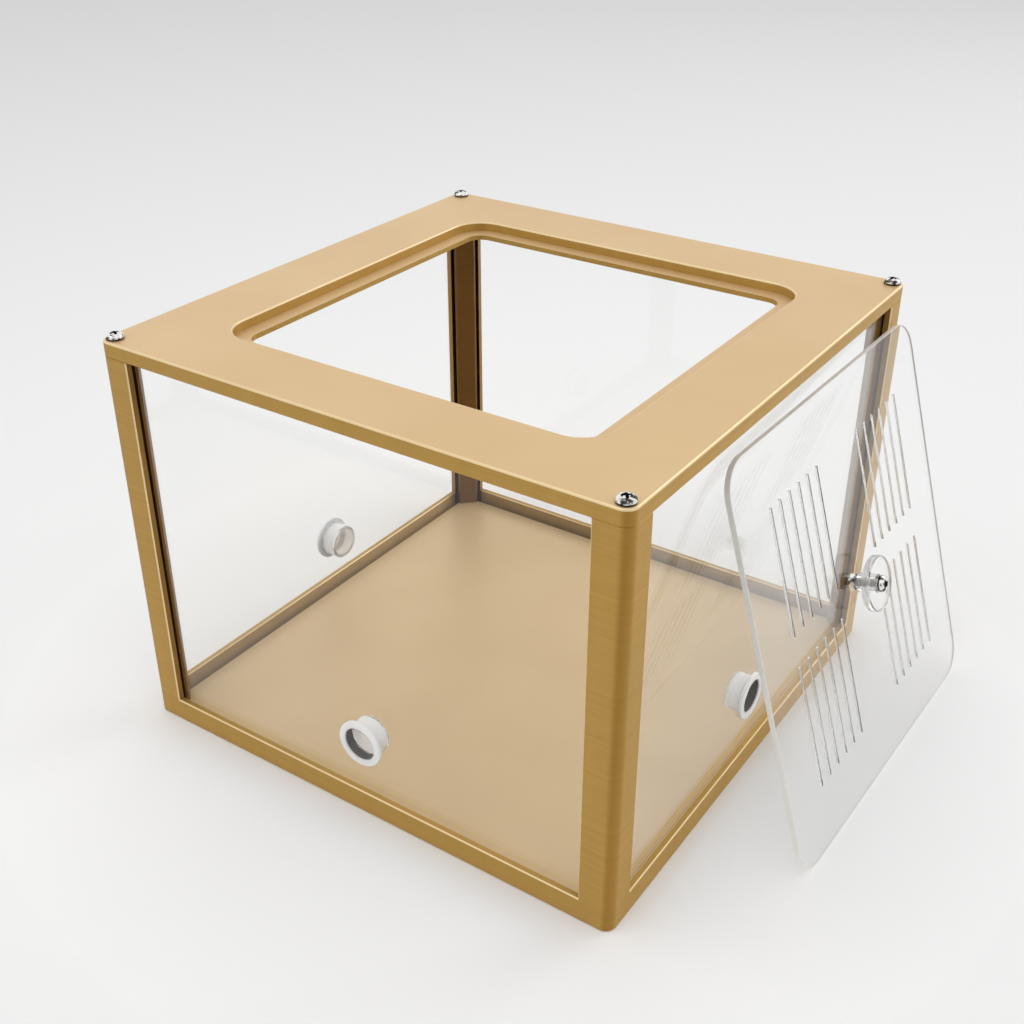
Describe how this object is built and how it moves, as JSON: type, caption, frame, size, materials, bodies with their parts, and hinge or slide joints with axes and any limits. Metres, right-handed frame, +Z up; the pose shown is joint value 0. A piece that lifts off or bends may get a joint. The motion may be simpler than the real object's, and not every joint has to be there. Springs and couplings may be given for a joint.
{
  "type": "ant foraging area",
  "caption": "Clear box with a printed frame, tube ports low in its sides, and a slotted lid with a knob leaning on one side",
  "frame": {"origin": "centre of the base's underside, on the surface the box stands on", "axes": "+X right along the front, +Y into the depth, +Z up; the near corner of the picture is at +X, -Y"},
  "size_m": [0.2441, 0.2006, 0.1542],
  "materials": {
    "gold_print": "silk gold 3-D print with fine layer lines",
    "clear_acrylic": "clear polished sheet, laser-cut edges",
    "port_plastic": "milky translucent moulding",
    "seal_rubber": "matt",
    "screw_steel": "bright plated"
  },
  "bodies": {
    "box": {"base_frame": "gold_print", "top_frame": "gold_print", "front_panel": "clear_acrylic", "back_panel": "clear_acrylic", "left_panel": "clear_acrylic", "right_panel": "clear_acrylic", "corner_screws": "screw_steel", "front_port_bushing": "port_plastic", "right_port_bushing": "port_plastic", "left_port_bushing": "port_plastic", "front_port_seal": "seal_rubber", "right_port_seal": "seal_rubber", "left_port_seal": "seal_rubber"},
    "lid": {"lid_plate": "clear_acrylic", "lid_spacer": "clear_acrylic", "lid_disc": "clear_acrylic", "lid_screw": "screw_steel", "lid_nut": "screw_steel"},
    "front_cap": {"front_port_cap": "port_plastic"},
    "right_cap": {"right_port_cap": "port_plastic"},
    "left_cap": {"left_port_cap": "port_plastic"}
  },
  "joints": [
    {"name": "lid_lift", "type": "slide", "parent": "box", "child": "lid", "axis": [0.6, 0, 0.8], "range_m": [0, 0.12]},
    {"name": "front_cap_pull", "type": "slide", "parent": "box", "child": "front_cap", "axis": [0, 1, 0], "range_m": [0, 0.012]},
    {"name": "right_cap_pull", "type": "slide", "parent": "box", "child": "right_cap", "axis": [-1, 0, 0], "range_m": [0, 0.012]},
    {"name": "left_cap_pull", "type": "slide", "parent": "box", "child": "left_cap", "axis": [1, 0, 0], "range_m": [0, 0.012]}
  ]
}
